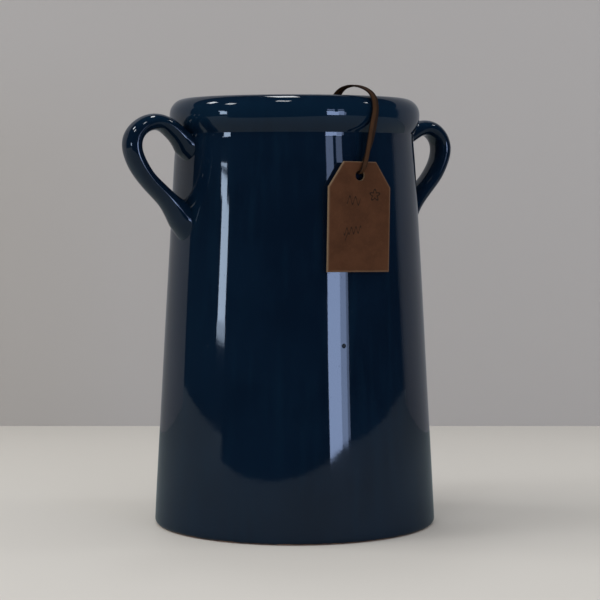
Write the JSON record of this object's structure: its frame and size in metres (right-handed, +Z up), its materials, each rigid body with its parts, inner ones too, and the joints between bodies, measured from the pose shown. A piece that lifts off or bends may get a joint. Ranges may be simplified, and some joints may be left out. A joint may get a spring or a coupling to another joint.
{
  "type": "two-handled glazed ceramic urn",
  "caption": "Tall conical glazed urn with a rolled rim, ear handles under the rim and a leather swing tag on a doubled lace.",
  "frame": {"origin": "centre of the foot, on the surface the urn stands on", "axes": "+Z up the urn's axis, the two handles on +X and -X, the swing tag on the -Y side"},
  "size_m": [0.2496, 0.1898, 0.2919],
  "materials": {
    "glaze": "high gloss dark navy glaze over a thrown clay body",
    "tag_board": "matt brown bonded leather board with paler cut edges",
    "lace": "flat brown leather lace, slightly waxed"
  },
  "bodies": {
    "urn": {"vessel_body": "glaze", "handle_left": "glaze", "handle_right": "glaze"},
    "lace": {"tag_lace": "lace", "lace_knot": "lace"},
    "tag": {"swing_tag": "tag_board"}
  },
  "joints": [
    {"name": "lace_lift", "type": "slide", "parent": "urn", "child": "lace", "axis": [0, 0, 1], "range_m": [0, 0.13]},
    {"name": "tag_swing", "type": "hinge", "parent": "lace", "child": "tag", "pos_m": [0, -0.0865, 0.2336], "axis": [0, 1, 0], "range_deg": [-30, 30]}
  ]
}
